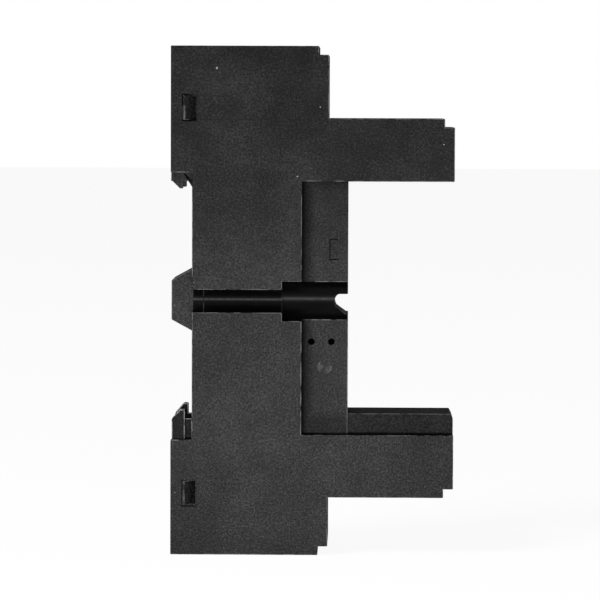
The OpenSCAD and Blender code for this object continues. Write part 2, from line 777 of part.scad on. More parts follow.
housing();
base_cover();
rail_latch();
latch_spring();
deck_contact(TOP_DECK, NEAR);  // contact_top_deck_near
deck_contact(TOP_DECK, FAR);  // contact_top_deck_far
arm_contact(TOP_ARM, NEAR);  // contact_top_arm_near
arm_contact(TOP_ARM, FAR);  // contact_top_arm_far
arm_contact(BOTTOM_ARM, NEAR);  // contact_bottom_arm_near
arm_contact(BOTTOM_ARM, FAR);  // contact_bottom_arm_far
deck_contact(BOTTOM_DECK, NEAR);  // contact_bottom_deck_near
deck_contact(BOTTOM_DECK, FAR);  // contact_bottom_deck_far
clamp_cage(TOP_DECK, NEAR);  // cage_top_deck_near
clamp_cage(TOP_DECK, FAR);  // cage_top_deck_far
clamp_cage(TOP_ARM, NEAR);  // cage_top_arm_near
clamp_cage(TOP_ARM, FAR);  // cage_top_arm_far
clamp_cage(BOTTOM_ARM, NEAR);  // cage_bottom_arm_near
clamp_cage(BOTTOM_ARM, FAR);  // cage_bottom_arm_far
clamp_cage(BOTTOM_DECK, NEAR);  // cage_bottom_deck_near
clamp_cage(BOTTOM_DECK, FAR);  // cage_bottom_deck_far
terminal_screw(TOP_DECK, NEAR);  // screw_top_deck_near
terminal_screw(TOP_DECK, FAR);  // screw_top_deck_far
terminal_screw(TOP_ARM, NEAR);  // screw_top_arm_near
terminal_screw(TOP_ARM, FAR);  // screw_top_arm_far
terminal_screw(BOTTOM_ARM, NEAR);  // screw_bottom_arm_near
terminal_screw(BOTTOM_ARM, FAR);  // screw_bottom_arm_far
terminal_screw(BOTTOM_DECK, NEAR);  // screw_bottom_deck_near
terminal_screw(BOTTOM_DECK, FAR);  // screw_bottom_deck_far
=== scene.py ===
import json
import math

import bmesh
import bpy
from mathutils import Matrix, Quaternion, Vector
from mathutils.bvhtree import BVHTree


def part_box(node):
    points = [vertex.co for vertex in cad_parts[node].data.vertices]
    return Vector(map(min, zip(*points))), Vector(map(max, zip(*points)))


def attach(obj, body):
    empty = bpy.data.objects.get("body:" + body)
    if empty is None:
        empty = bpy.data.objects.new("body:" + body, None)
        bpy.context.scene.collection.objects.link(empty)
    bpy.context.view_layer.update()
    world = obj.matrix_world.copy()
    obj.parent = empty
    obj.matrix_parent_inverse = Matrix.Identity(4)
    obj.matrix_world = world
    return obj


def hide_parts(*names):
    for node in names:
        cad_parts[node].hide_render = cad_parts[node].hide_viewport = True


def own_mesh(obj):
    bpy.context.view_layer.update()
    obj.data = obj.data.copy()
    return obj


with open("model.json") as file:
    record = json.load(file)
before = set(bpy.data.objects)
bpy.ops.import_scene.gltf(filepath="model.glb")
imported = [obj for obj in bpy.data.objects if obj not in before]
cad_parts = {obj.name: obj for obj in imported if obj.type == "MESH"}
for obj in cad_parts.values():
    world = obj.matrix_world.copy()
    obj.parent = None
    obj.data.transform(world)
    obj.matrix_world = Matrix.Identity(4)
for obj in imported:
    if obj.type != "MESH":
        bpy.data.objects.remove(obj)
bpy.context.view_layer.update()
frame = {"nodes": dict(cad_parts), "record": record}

MM = 0.001

# Terminals: four pairs of columns, each with a screw, a rising cage and a contact
DECKS = ("top_deck", "top_arm", "bottom_arm", "bottom_deck")
SIDES = ("near", "far")
TERMINALS = [deck + "_" + side for deck in DECKS for side in SIDES]

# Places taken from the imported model, in metres
HOUSING_LOW, HOUSING_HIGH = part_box("housing")
COVER_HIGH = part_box("base_cover")[1]
LATCH_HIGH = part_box("rail_latch")[1]
SPRING_LOW, SPRING_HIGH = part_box("latch_spring")
MOUNTS = {mount["name"]: Vector(mount["pos_m"]) for mount in frame["record"]["mounts"]}
BLOCK_X = MOUNTS["relay_seat"].x
GROOVE_Y = abs(MOUNTS["side_screw_near"].y)

# Recessed side fields: their plane, rear border and upper end
RECESS_Y = HOUSING_HIGH.y - 2.3 * MM
RECESS_X = 16.15 * MM
RECESS_END = 17.65 * MM

# Radii of the side grooves, and the height of the rail's mouths above and below the axis
SHANK_GROOVE_R = 1.93 * MM
HEAD_GROOVE_R = 3.05 * MM
MOUTH_Z = 17.6 * MM

# Softening of the moulded and stamped edges
MOULD_EDGE = 0.11 * MM
STRIP_EDGE = 0.05 * MM
SCREW_EDGE = 0.08 * MM
HEAD_H = 1.9 * MM
SHARP_ANGLE = math.radians(28)
FLAT_ANGLE = math.radians(0.6)
FACING = 0.9
MERGE_GAP = 0.002 * MM
LIFT = 0.02 * MM

# Headings along which a skin is looked at: all round, and all round but from behind
AROUND = [
    Vector((x, y, z)).normalized()
    for x in (-1, 0, 1) for y in (-1, 0, 1) for z in (-1, 0, 1) if (x, y, z) != (0, 0, 0)
]
NOT_BEHIND = [heading for heading in AROUND if heading.x >= 0]


# ---------------------------------------------------------------- meshes

def merge(bm):
    """Shares the corners and makes each flat face whole."""
    bmesh.ops.remove_doubles(bm, verts=bm.verts, dist=MERGE_GAP)
    bmesh.ops.dissolve_limit(
        bm, angle_limit=FLAT_ANGLE, verts=bm.verts, edges=bm.edges, delimit={"NORMAL"}
    )


def merged_copy(node):
    """The node's solid as a bmesh with shared corners and whole flat faces."""
    bm = bmesh.new()
    bm.from_mesh(frame["nodes"][node].data)
    merge(bm)
    bmesh.ops.recalc_face_normals(bm, faces=bm.faces)
    return bm


def carve(bm, boxes):
    """Cuts boxes, each given by its lowest and highest corner, out of a closed bmesh."""
    made = []

    def stand_in(name, source):
        mesh = bpy.data.meshes.new(name)
        source.to_mesh(mesh)
        source.free()
        made.append(bpy.data.objects.new(name, mesh))
        bpy.context.scene.collection.objects.link(made[-1])
        return made[-1]

    body = stand_in("carved", bm)
    for low, high in boxes:
        block = bmesh.new()
        bmesh.ops.create_cube(block, size=1.0)
        bmesh.ops.scale(block, verts=block.verts, vec=Vector(high) - Vector(low))
        bmesh.ops.translate(block, verts=block.verts, vec=(Vector(low) + Vector(high)) / 2)
        cut = body.modifiers.new("cut", "BOOLEAN")
        cut.operation = "DIFFERENCE"
        cut.solver = "EXACT"
        cut.object = stand_in("cutter", block)
    result = bmesh.new()
    result.from_object(body, bpy.context.evaluated_depsgraph_get())
    for item in made:
        mesh = item.data
        bpy.data.objects.remove(item)
        bpy.data.meshes.remove(mesh)
    merge(result)
    return result


def side_boxes(half_width, inset, front_range, height_range):
    """Two boxes for carve, one on each side, that reach in by the inset."""
    boxes = []
    for side in (-1, 1):
        across = sorted((side * (half_width - inset), side * (half_width + inset)))
        low, high = zip(front_range, across, height_range)
        boxes.append((low, high))
    return boxes


def way_out(tree, point, headings):
    """True if a straight line from the point leaves the piece along any heading."""
    return any(tree.ray_cast(point, heading)[0] is None for heading in headings)


def outer_edges(bm, headings, keep=lambda middle: True):
    """The convex edges of the skin that can be seen along the headings."""
    tree = BVHTree.FromBMesh(bm)
    chosen = []
    for edge in bm.edges:
        if len(edge.link_faces) != 2 or not edge.is_convex or edge.calc_face_angle(0) < SHARP_ANGLE:
            continue
        middle = (edge.verts[0].co + edge.verts[1].co) / 2
        outward = (edge.link_faces[0].normal + edge.link_faces[1].normal).normalized()
        if keep(middle) and way_out(tree, middle + outward * LIFT, headings):
            chosen.append(edge)
    return chosen


def face_mark(bm, name):
    """The named face attribute of a bmesh, made if it isn't there yet."""
    marks = bm.faces.layers.float
    return marks[name] if name in marks.keys() else marks.new(name)


def soften(bm, edges, width, segments=2):
    """Rounds edges and marks the new faces in the 'rim' attribute."""
    rim = face_mark(bm, "rim")
    made = bmesh.ops.bevel(
        bm, geom=edges, offset=width, offset_type="OFFSET", segments=segments, profile=0.5,
        affect="EDGES", clamp_overlap=False, loop_slide=True, material=-1
    )
    for face in made["faces"]:
        face[rim] = 1.0


def keep_inside(bm, node):
    """Holds every vertex inside the box of the node that the piece stands for."""
    low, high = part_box(node)
    for vert in bm.verts:
        for axis in range(3):
            vert.co[axis] = min(max(vert.co[axis], low[axis]), high[axis])


def finish_piece(name, bm, body, material, replaced=None):
    """Makes the object: smooth curves, hard corners and even normals on the flats."""
    if replaced:
        keep_inside(bm, replaced)
    for face in bm.faces:
        face.smooth = True
    for edge in bm.edges:
        if len(edge.link_faces) == 2:
            edge.smooth = edge.calc_face_angle(0) < SHARP_ANGLE
    mesh = bpy.data.meshes.new(name)
    bm.to_mesh(mesh)
    bm.free()
    piece = bpy.data.objects.new(name, mesh)
    bpy.context.scene.collection.objects.link(piece)
    mesh.materials.append(material)
    weighted = piece.modifiers.new("even_normals", "WEIGHTED_NORMAL")
    weighted.keep_sharp = True
    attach(piece, body)
    if replaced:
        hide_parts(replaced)
    return piece


# ---------------------------------------------------------------- shader helpers

def add_node(tree, kind, settings=None, **values):
    """Adds a shader node. A keyword links or sets the input of that name."""
    made = tree.nodes.new("ShaderNode" + kind)
    for key, value in (settings or {}).items():
        setattr(made, key, value)
    for key, value in values.items():
        plug(tree, made.inputs[key.replace("_", " ")], value)
    return made


def plug(tree, socket, value):
    """Links a socket to another one, or sets its value."""
    if isinstance(value, bpy.types.NodeSocket):
        tree.links.new(value, socket)
    else:
        socket.default_value = value


def maths(tree, operation, a, b=0.0, clamp=False):
    made = add_node(tree, "Math", {"operation": operation, "use_clamp": clamp})
    plug(tree, made.inputs[0], a)
    plug(tree, made.inputs[1], b)
    return made.outputs[0]


def mix_colours(tree, factor, a, b):
    """Mixes two colours. A Mix node keeps its colour sockets at fixed places."""
    first, second, mixed = 6, 7, 2
    made = add_node(tree, "Mix", {"data_type": "RGBA"})
    plug(tree, made.inputs["Factor"], factor)
    plug(tree, made.inputs[first], a)
    plug(tree, made.inputs[second], b)
    return made.outputs[mixed]


def scaled(tree, value, by):
    return maths(tree, "MULTIPLY", value, by)


def carried_mark(tree, name):
    """The value of a face attribute, 0 where a piece has none."""
    return add_node(tree, "Attribute", {"attribute_name": name}).outputs["Fac"]


def ramp(tree, value, low, high, out_low=0.0, out_high=1.0):
    made = add_node(tree, "MapRange", {"clamp": True}, Value=value)
    for key, number in (("From Min", low), ("From Max", high), ("To Min", out_low), ("To Max", out_high)):
        made.inputs[key].default_value = number
    return made.outputs["Result"]


def new_group(name, inputs, outputs):
    """A shader group with named sockets. Each input is (name, kind, default)."""
    group = bpy.data.node_groups.new(name, "ShaderNodeTree")
    for label, kind, default in inputs:
        socket = group.interface.new_socket(name=label, in_out="INPUT", socket_type="NodeSocket" + kind)
        if default is not None:
            socket.default_value = default
    for label, kind in outputs:
        group.interface.new_socket(name=label, in_out="OUTPUT", socket_type="NodeSocket" + kind)
    return group, group.nodes.new("NodeGroupInput"), group.nodes.new("NodeGroupOutput")


def use_group(tree, group, **values):
    made = tree.nodes.new("ShaderNodeGroup")
    made.node_tree = group
    for key, value in values.items():
        plug(tree, made.inputs[key.replace("_", " ")], value)
    return made.outputs


# ---------------------------------------------------------------- shared effects

def make_grain():
    """Moulding grain: a height for the bump and a mottle for the colour."""
    group, given, out = new_group(
        "moulding_grain",
        [("Place", "Vector", None), ("Grain scale", "Float", 4200.0), ("Mottle scale", "Float", 3500.0)],
        [("Height", "Float"), ("Mottle", "Float"), ("Cloud", "Float")],
    )
    place = given.outputs["Place"]
    grain_scale = given.outputs["Grain scale"]
    mottle_scale = given.outputs["Mottle scale"]
    fine = add_node(group, "TexNoise", Vector=place, Scale=grain_scale, Detail=3.0, Roughness=0.6)
    pits = add_node(group, "TexVoronoi", {"feature": "SMOOTH_F1"}, Vector=place, Scale=grain_scale)
    mottle = add_node(group, "TexNoise", Vector=place, Scale=mottle_scale, Detail=4.0, Roughness=0.65)
    cloud = add_node(group, "TexNoise", Vector=place, Scale=260.0, Detail=3.0, Roughness=0.55)
    drift = add_node(group, "TexNoise", Vector=place, Scale=105.0, Detail=2.0, Roughness=0.5)
    height = maths(group, "ADD", fine.outputs["Fac"], scaled(group, pits.outputs["Distance"], 0.35))
    group.links.new(height, out.inputs["Height"])
    group.links.new(ramp(group, mottle.outputs["Fac"], 0.3, 0.7), out.inputs["Mottle"])
    blotch = maths(group, "ADD", cloud.outputs["Fac"], scaled(group, drift.outputs["Fac"], 1.4))
    group.links.new(ramp(group, blotch, 0.9, 1.5), out.inputs["Cloud"])
    return group


def make_dust():
    """Sparse pale specks of dust and lint."""
    group, given, out = new_group(
        "dust_specks",
        [("Place", "Vector", None), ("Cell scale", "Float", 330.0), ("Share", "Float", 0.25)],
        [("Mask", "Float")],
    )
    place = given.outputs["Place"]
    warp = add_node(group, "TexNoise", Vector=place, Scale=2600.0, Detail=2.0)
    cells = add_node(group, "TexVoronoi", Vector=place, Scale=given.outputs["Cell scale"], Randomness=1.0)
    pick = add_node(group, "SeparateColor", Color=cells.outputs["Color"])
    least, spread = 0.018, 0.045
    reach = maths(group, "MULTIPLY_ADD", pick.outputs["Green"], spread)
    reach.node.inputs[2].default_value = least
    reach = maths(group, "MULTIPLY", reach, ramp(group, warp.outputs["Fac"], 0.35, 0.65, 0.4, 1.6))
    near = maths(group, "LESS_THAN", cells.outputs["Distance"], reach)
    chosen = maths(group, "LESS_THAN", pick.outputs["Red"], given.outputs["Share"])
    group.links.new(maths(group, "MULTIPLY", near, chosen), out.inputs["Mask"])
    return group


def make_rim_wear_and_highlight():
    """A mask of the rims, for wear and for a painted highlight: the rounded edges, broken up by noise."""
    group, given, out = new_group(
        "rim_wear_and_highlight",
        [("Place", "Vector", None), ("Break scale", "Float", 700.0), ("Cover", "Float", 0.5)],
        [("Mask", "Float")],
    )
    rim = carried_mark(group, "rim")
    broken = add_node(
        group, "TexNoise", Vector=given.outputs["Place"], Scale=given.outputs["Break scale"], Detail=4.0
    )
    low = maths(group, "SUBTRACT", 1.0, given.outputs["Cover"])
    step = add_node(group, "MapRange", {"clamp": True}, Value=broken.outputs["Fac"])
    plug(group, step.inputs["From Min"], low)
    plug(group, step.inputs["From Max"], maths(group, "ADD", low, 0.18))
    group.links.new(maths(group, "MULTIPLY", rim, step.outputs["Result"]), out.inputs["Mask"])
    return group


def make_scratches():
    """A few fine hair scratches, as thin lines of a stretched noise."""
    group, given, out = new_group(
        "hair_scratches",
        [("Place", "Vector", None), ("Turn", "Float", 0.6), ("Density", "Float", 0.12)],
        [("Mask", "Float")],
    )
    turned = add_node(
        group, "VectorRotate", {"rotation_type": "AXIS_ANGLE"},
        Vector=given.outputs["Place"], Angle=given.outputs["Turn"]
    )
    turned.inputs["Axis"].default_value = (0, 1, 0)
    long = add_node(group, "Mapping", Vector=turned.outputs["Vector"])
    long.inputs["Scale"].default_value = (1.0, 0.2, 0.06)
    lines = add_node(
        group, "TexNoise", Vector=long.outputs["Vector"], Scale=950.0, Detail=1.0, Distortion=0.4
    )
    away = maths(group, "ABSOLUTE", maths(group, "SUBTRACT", lines.outputs["Fac"], 0.5))
    thin = ramp(group, away, 0.0, 0.006, 1.0, 0.0)
    patch = add_node(group, "TexNoise", Vector=given.outputs["Place"], Scale=120.0, Detail=2.0)
    low = maths(group, "SUBTRACT", 0.8, given.outputs["Density"])
    where = maths(group, "GREATER_THAN", patch.outputs["Fac"], low)
    group.links.new(maths(group, "MULTIPLY", thin, where), out.inputs["Mask"])
    return group


GRAIN = make_grain()
DUST = make_dust()
RIM_WEAR_AND_HIGHLIGHT = make_rim_wear_and_highlight()
SCRATCHES = make_scratches()


# ---------------------------------------------------------------- materials

def new_material(name):
    material = bpy.data.materials.new(name)
    material.use_nodes = True
    tree = material.node_tree
    shader = tree.nodes["Principled BSDF"]
    place = tree.nodes.new("ShaderNodeTexCoord").outputs["Object"]
    return material, tree, shader, place


def bore_normal(tree):
    """The true normal of a round groove where the faces carry one, else the mesh's own."""
    carried = add_node(tree, "Attribute", {"attribute_name": "bore_normal"}).outputs["Vector"]
    size = add_node(tree, "VectorMath", {"operation": "LENGTH"})
    tree.links.new(carried, size.inputs[0])
    turned = add_node(
        tree, "VectorTransform",
        {"vector_type": "VECTOR", "convert_from": "OBJECT", "convert_to": "WORLD"}, Vector=carried
    )
    own = tree.nodes.new("ShaderNodeNewGeometry").outputs["Normal"]
    choice = add_node(tree, "Mix", {"data_type": "VECTOR"})
    plug(tree, choice.inputs["Factor"], maths(tree, "GREATER_THAN", size.outputs["Value"], 0.5))
    vectors = [socket for socket in choice.inputs if socket.type == "VECTOR" and socket.name in ("A", "B")]
    tree.links.new(own, vectors[0])
    tree.links.new(turned.outputs["Vector"], vectors[1])
    return next(socket for socket in choice.outputs if socket.type == "VECTOR")


def recess_painted_shade(tree, place):
    """Painted shade along the rear border and the ends of the recessed side fields, where the step shades
    them.
    """
    rear_reach = 1.9 * MM
    end_reach = 1.6 * MM
    spot = add_node(tree, "SeparateXYZ", Vector=place)
    rear = ramp(tree, spot.outputs["X"], RECESS_X, RECESS_X + rear_reach, 0.85, 0.0)
    height = maths(tree, "ABSOLUTE", spot.outputs["Z"])
    end = ramp(tree, height, RECESS_END - end_reach, RECESS_END, 0.0, 0.4)
    return maths(tree, "MULTIPLY", carried_mark(tree, "recess"), maths(tree, "MAXIMUM", rear, end))


def moulded_plastic(name, dark, light, rim_colour, roughness, gloss, bump, rim_share=0.6):
    """Glass-filled black plastic: mottled grain, rims lightened as wear and as a painted highlight,
    painted shade in hollows, specks and hair scratches.
    """
    material, tree, shader, place = new_material(name)
    grain = use_group(tree, GRAIN, Place=place)
    dust = use_group(tree, DUST, Place=place)["Mask"]
    rim = use_group(tree, RIM_WEAR_AND_HIGHLIGHT, Place=place, Cover=rim_share)["Mask"]
    scratch = use_group(tree, SCRATCHES, Place=place)["Mask"]
    polished = carried_mark(tree, "polished")
    # painted shade: the marked holes, grooves, pocket border and rib, with the recess border's painted
    # shade
    painted_shade = maths(tree, "ADD", carried_mark(tree, "painted_shade"), recess_painted_shade(tree, place), clamp=True)
    tone = maths(tree, "ADD", scaled(tree, grain["Mottle"], 0.72), scaled(tree, grain["Cloud"], 0.28))
    colour = mix_colours(tree, maths(tree, "POWER", tone, 2.4), dark, light)
    for mask, share, layer in (
        # rims lightened as wear and as a painted highlight
        (rim, 0.85, rim_colour),
        (scratch, 0.35, (0.16, 0.16, 0.165, 1)),
        (dust, 0.8, (0.42, 0.41, 0.39, 1)),
        (polished, 0.82, (0.0012, 0.0012, 0.0012, 1)),
        (painted_shade, 1.0, (0.0005, 0.0005, 0.0005, 1)),
    ):
        colour = mix_colours(tree, scaled(tree, mask, share), colour, layer)
    tree.links.new(colour, shader.inputs["Base Color"])
    # gloss is taken away too where shade is painted
    lit = maths(tree, "SUBTRACT", 1.0, painted_shade)
    tree.links.new(scaled(tree, lit, gloss), shader.inputs["Specular IOR Level"])
    rough = ramp(tree, grain["Mottle"], 0.0, 1.0, roughness + 0.08, roughness - 0.08)
    for mask, share in ((rim, 0.1), (polished, 0.12)):
        rough = maths(tree, "SUBTRACT", rough, scaled(tree, mask, share))
    # rougher at a grazing angle, where a smooth skin would mirror the pale surroundings
    facing = add_node(tree, "LayerWeight", Blend=0.5).outputs["Facing"]
    rough = maths(tree, "ADD", rough, ramp(tree, facing, 0.7, 0.95, 0.0, 0.5), clamp=True)
    tree.links.new(rough, shader.inputs["Roughness"])
    height = maths(tree, "SUBTRACT", grain["Height"], scaled(tree, scratch, 0.5))
    relief = add_node(tree, "Bump", Height=height, Distance=0.03 * MM, Normal=bore_normal(tree))
    unpolished = maths(tree, "SUBTRACT", 1.0, polished)
    plug(tree, relief.inputs["Strength"], scaled(tree, unpolished, bump))
    tree.links.new(relief.outputs["Normal"], shader.inputs["Normal"])
    return material


def plated_steel(name, colour, stain, roughness):
    """Zinc-plated steel: cloudy plating, tumbling marks and brighter rims."""
    material, tree, shader, place = new_material(name)
    grain = use_group(tree, GRAIN, Place=place, Grain_scale=3000.0, Mottle_scale=700.0)
    rim = use_group(tree, RIM_WEAR_AND_HIGHLIGHT, Place=place, Cover=0.6)["Mask"]
    scratch = use_group(tree, SCRATCHES, Place=place, Turn=1.1, Density=0.3)["Mask"]
    base = mix_colours(tree, grain["Mottle"], colour, stain)
    base = mix_colours(tree, maths(tree, "MULTIPLY", rim, 0.5), base, (0.85, 0.85, 0.86, 1))
    tree.links.new(base, shader.inputs["Base Color"])
    shader.inputs["Metallic"].default_value = 1.0
    rough = ramp(tree, grain["Cloud"], 0.0, 1.0, roughness - 0.07, roughness + 0.08)
    rough = maths(tree, "ADD", rough, maths(tree, "MULTIPLY", scratch, 0.15))
    tree.links.new(rough, shader.inputs["Roughness"])
    relief = add_node(tree, "Bump", Height=grain["Height"], Strength=0.12, Distance=0.00002)
    tree.links.new(relief.outputs["Normal"], shader.inputs["Normal"])
    return material


def stamped_brass(name):
    """Tinned brass strip: rolled streaks, a warm tarnish and brighter sheared rims."""
    material, tree, shader, place = new_material(name)
    grain = use_group(tree, GRAIN, Place=place, Grain_scale=3600.0, Mottle_scale=500.0)
    rim = use_group(tree, RIM_WEAR_AND_HIGHLIGHT, Place=place, Cover=0.7)["Mask"]
    rolled = add_node(tree, "Mapping", Vector=place)
    rolled.inputs["Scale"].default_value = (1.0, 1.0, 0.04)
    streak = add_node(tree, "TexNoise", Vector=rolled.outputs["Vector"], Scale=4200.0, Detail=3.0)
    base = mix_colours(tree, grain["Mottle"], (0.74, 0.62, 0.34, 1), (0.6, 0.47, 0.24, 1))
    base = mix_colours(tree, ramp(tree, grain["Cloud"], 0.6, 1.0, 0.0, 0.5), base, (0.36, 0.25, 0.13, 1))
    base = mix_colours(tree, maths(tree, "MULTIPLY", rim, 0.5), base, (0.86, 0.76, 0.5, 1))
    tree.links.new(base, shader.inputs["Base Color"])
    shader.inputs["Metallic"].default_value = 1.0
    tree.links.new(ramp(tree, streak.outputs["Fac"], 0.3, 0.7, 0.24, 0.4), shader.inputs["Roughness"])
    relief = add_node(tree, "Bump", Height=streak.outputs["Fac"], Strength=0.15, Distance=0.00001)
    tree.links.new(relief.outputs["Normal"], shader.inputs["Normal"])
    return material


def drawn_wire(name):
    """Drawn spring wire with a grey oxide bloom."""
    material, tree, shader, place = new_material(name)
    grain = use_group(tree, GRAIN, Place=place, Grain_scale=6000.0, Mottle_scale=1800.0)
    base = mix_colours(tree, grain["Mottle"], (0.52, 0.52, 0.54, 1), (0.34, 0.34, 0.36, 1))
    tree.links.new(base, shader.inputs["Base Color"])
    shader.inputs["Metallic"].default_value = 1.0
    tree.links.new(ramp(tree, grain["Cloud"], 0.0, 1.0, 0.22, 0.36), shader.inputs["Roughness"])
    relief = add_node(tree, "Bump", Height=grain["Height"], Strength=0.1, Distance=0.00001)
    tree.links.new(relief.outputs["Normal"], shader.inputs["Normal"])
    return material


# each rim colour is far lighter than its body: wear, and a painted highlight on the rims
HOUSING_BLACK = moulded_plastic(
    "housing_black", dark=(0.0003, 0.0003, 0.0003, 1), light=(0.051, 0.051, 0.052, 1),
    rim_colour=(0.17, 0.17, 0.173, 1), roughness=0.4, gloss=0.1, bump=1.1
)
COVER_BLACK = moulded_plastic(
    "cover_black", dark=(0.0005, 0.0005, 0.0005, 1), light=(0.05, 0.05, 0.051, 1),
    rim_colour=(0.14, 0.14, 0.143, 1), roughness=0.4, gloss=0.12, bump=0.7
)
LATCH_BLACK = moulded_plastic(
    "latch_black", dark=(0.001, 0.001, 0.001, 1), light=(0.014, 0.014, 0.0145, 1),
    rim_colour=(0.42, 0.42, 0.425, 1), roughness=0.44, gloss=0.06, bump=0.3, rim_share=0.68
)
SCREW_ZINC = plated_steel("screw_zinc", (0.68, 0.69, 0.71, 1), (0.55, 0.55, 0.56, 1), 0.3)
CAGE_ZINC = plated_steel("cage_zinc", (0.62, 0.63, 0.64, 1), (0.5, 0.49, 0.47, 1), 0.38)
CONTACT_BRASS = stamped_brass("contact_strip")
SPRING_WIRE = drawn_wire("spring_wire")


# ---------------------------------------------------------------- pieces

def is_side_mark(point):
    """True on the small moulding marks of the recessed side faces, on both sides of the slot."""
    slot_half = 5 * MM
    inner_face = abs(abs(point.y) - RECESS_Y) < 0.4 * MM
    in_field = BLOCK_X - 6.2 * MM < point.x < BLOCK_X - 1 * MM
    return inner_face and in_field and slot_half < abs(point.z) < 2.4 * slot_half


def is_snap_window(point):
    """True on the rims of the four windows that the base cover's lugs snap into."""
    in_depth = -1.9 * MM < point.x < 1.0 * MM
    return in_depth and 25.9 * MM < abs(point.z) < 30.8 * MM and abs(point.y) > 7 * MM


def make_moulding(name, node, body, material, width, headings):
    """A moulded or stamped piece: its solid with softened outer edges."""
    bm = merged_copy(node)
    soften(bm, outer_edges(bm, headings), width)
    return finish_piece(name, bm, body, material, node)


def turn_ring(bm, ring, turns, rise, axis, centre, steps):
    """Sweeps a ring of edges round an axis while it climbs, and returns the last ring."""
    made = bmesh.ops.spin(
        bm, geom=ring, cent=centre, axis=axis, dvec=axis * (rise / steps), angle=2 * math.pi * turns,
        steps=steps, use_merge=False, use_duplicate=False
    )
    return made["geom_last"]


def make_spring():
    """The latch spring: one closed turn at each end and an even pitch between."""
    wire_r = 0.2 * MM
    open_turns = 5
    steps_per_turn = 32
    centre = (SPRING_LOW + SPRING_HIGH) / 2
    coil_r = (SPRING_HIGH.x - SPRING_LOW.x) / 2 - wire_r
    closed = 2.05 * wire_r
    start = Vector((centre.x + coil_r, centre.y, SPRING_LOW.z + wire_r))
    open_rise = SPRING_HIGH.z - wire_r - start.z - 2 * closed
    bm = bmesh.new()
    ring = bmesh.ops.create_circle(
        bm, segments=12, radius=wire_r, cap_ends=True,
        matrix=Matrix.Translation(start) @ Matrix.Rotation(math.radians(90), 4, "X")
    )
    last = list(bm.edges)
    for turns, rise in ((1, closed), (open_turns, open_rise), (1, closed)):
        last = turn_ring(bm, last, turns, rise, Vector((0, 0, 1)), centre, steps_per_turn * turns)
        last = [part for part in last if isinstance(part, bmesh.types.BMEdge)]
    bmesh.ops.contextual_create(bm, geom=last)
    bmesh.ops.remove_doubles(bm, verts=bm.verts, dist=0.001 * MM)
    bmesh.ops.recalc_face_normals(bm, faces=bm.faces)
    spring = finish_piece("spring_wire_coil", bm, "socket", SPRING_WIRE, "latch_spring")
    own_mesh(spring)


def make_screw(terminal):
    """A terminal screw: the head of the solid, softened, on a real thread."""
    node = "screw_" + terminal
    low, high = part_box(node)
    centre = (low + high) / 2
    crest_r = 1.5 * MM
    root_r = 1.2 * MM
    pitch = 0.5 * MM
    steps = 24
    head_back = high.x - HEAD_H
    point_l = 0.35 * MM
    bm = merged_copy(node)
    cut = bm.verts[:] + bm.edges[:] + bm.faces[:]
    bmesh.ops.bisect_plane(
        bm, geom=cut, plane_co=(head_back - LIFT, 0, 0), plane_no=(1, 0, 0), clear_inner=True
    )
    bmesh.ops.holes_fill(bm, edges=[edge for edge in bm.edges if edge.is_boundary])
    soften(bm, outer_edges(bm, AROUND), SCREW_EDGE)
    # one pitch of the thread's profile, swept round and down the shank
    profile = [(root_r, 0), (root_r, 0.12), (crest_r, 0.45), (crest_r, 0.57), (root_r, 0.9), (root_r, 1)]
    turns = math.ceil((head_back - low.x) / pitch) + 1
    start = low.x - pitch
    rod = bmesh.new()
    points = [rod.verts.new((start + share * pitch, centre.y, centre.z + r)) for r, share in profile]
    line = [rod.edges.new(pair) for pair in zip(points, points[1:])]
    turn_ring(rod, points + line, turns, turns * pitch, Vector((1, 0, 0)), centre, steps * turns)
    bmesh.ops.remove_doubles(rod, verts=rod.verts, dist=0.002 * MM)
    for plane, keep_high in ((low.x + point_l, True), (head_back + point_l, False)):
        bmesh.ops.bisect_plane(
            rod, geom=rod.verts[:] + rod.edges[:] + rod.faces[:], plane_co=(plane, 0, 0),
            plane_no=(1, 0, 0), clear_inner=keep_high, clear_outer=not keep_high
        )
    bmesh.ops.holes_fill(rod, edges=[edge for edge in rod.edges if edge.is_boundary])
    bmesh.ops.recalc_face_normals(rod, faces=rod.faces)
    # plain point that enters the tapped wall first
    point_r = root_r - 0.25 * MM
    point_place = Matrix.Translation((low.x + point_l / 2, centre.y, centre.z))
    bmesh.ops.create_cone(
        rod, cap_ends=True, segments=steps, radius1=root_r, radius2=point_r, depth=point_l,
        matrix=point_place @ Matrix.Rotation(math.radians(-90), 4, "Y")
    )
    joined = bpy.data.meshes.new("thread")
    rod.to_mesh(joined)
    rod.free()
    bm.from_mesh(joined)
    bpy.data.meshes.remove(joined)
    finish_piece("terminal_screw_" + terminal, bm, node, SCREW_ZINC, node)


def stepped(value, old, new):
    """Maps a value between the steps of one falling list to the same steps of another."""
    for k in range(len(old) - 1):
        if old[k] >= value >= old[k + 1]:
            share = (old[k] - value) / (old[k] - old[k + 1])
            return new[k] + share * (new[k + 1] - new[k])
    return value


def open_release_slot(bm):
    """Slides the release slot down, and its rim round the side grooves to fit."""
    slot_back = BLOCK_X - 1.98 * MM
    # heights of the slot's top edge, its two inner corners and its lower edge
    old = [z * MM for z in (1.201, 0.45, -0.085, -1.781)]
    new = [z * MM for z in (0.9, -0.15, -1.0, -2.3)]
    for vert in bm.verts:
        if vert.co.x < slot_back or not old[0] >= vert.co.z >= old[-1]:
            continue
        radius = math.hypot(GROOVE_Y - abs(vert.co.y), vert.co.z)
        vert.co.z = stepped(vert.co.z, old, new)
        if abs(radius - HEAD_GROOVE_R) < 0.03 * MM:
            side = math.copysign(1, vert.co.y)
            vert.co.y = side * (GROOVE_Y - math.sqrt(radius**2 - vert.co.z**2))


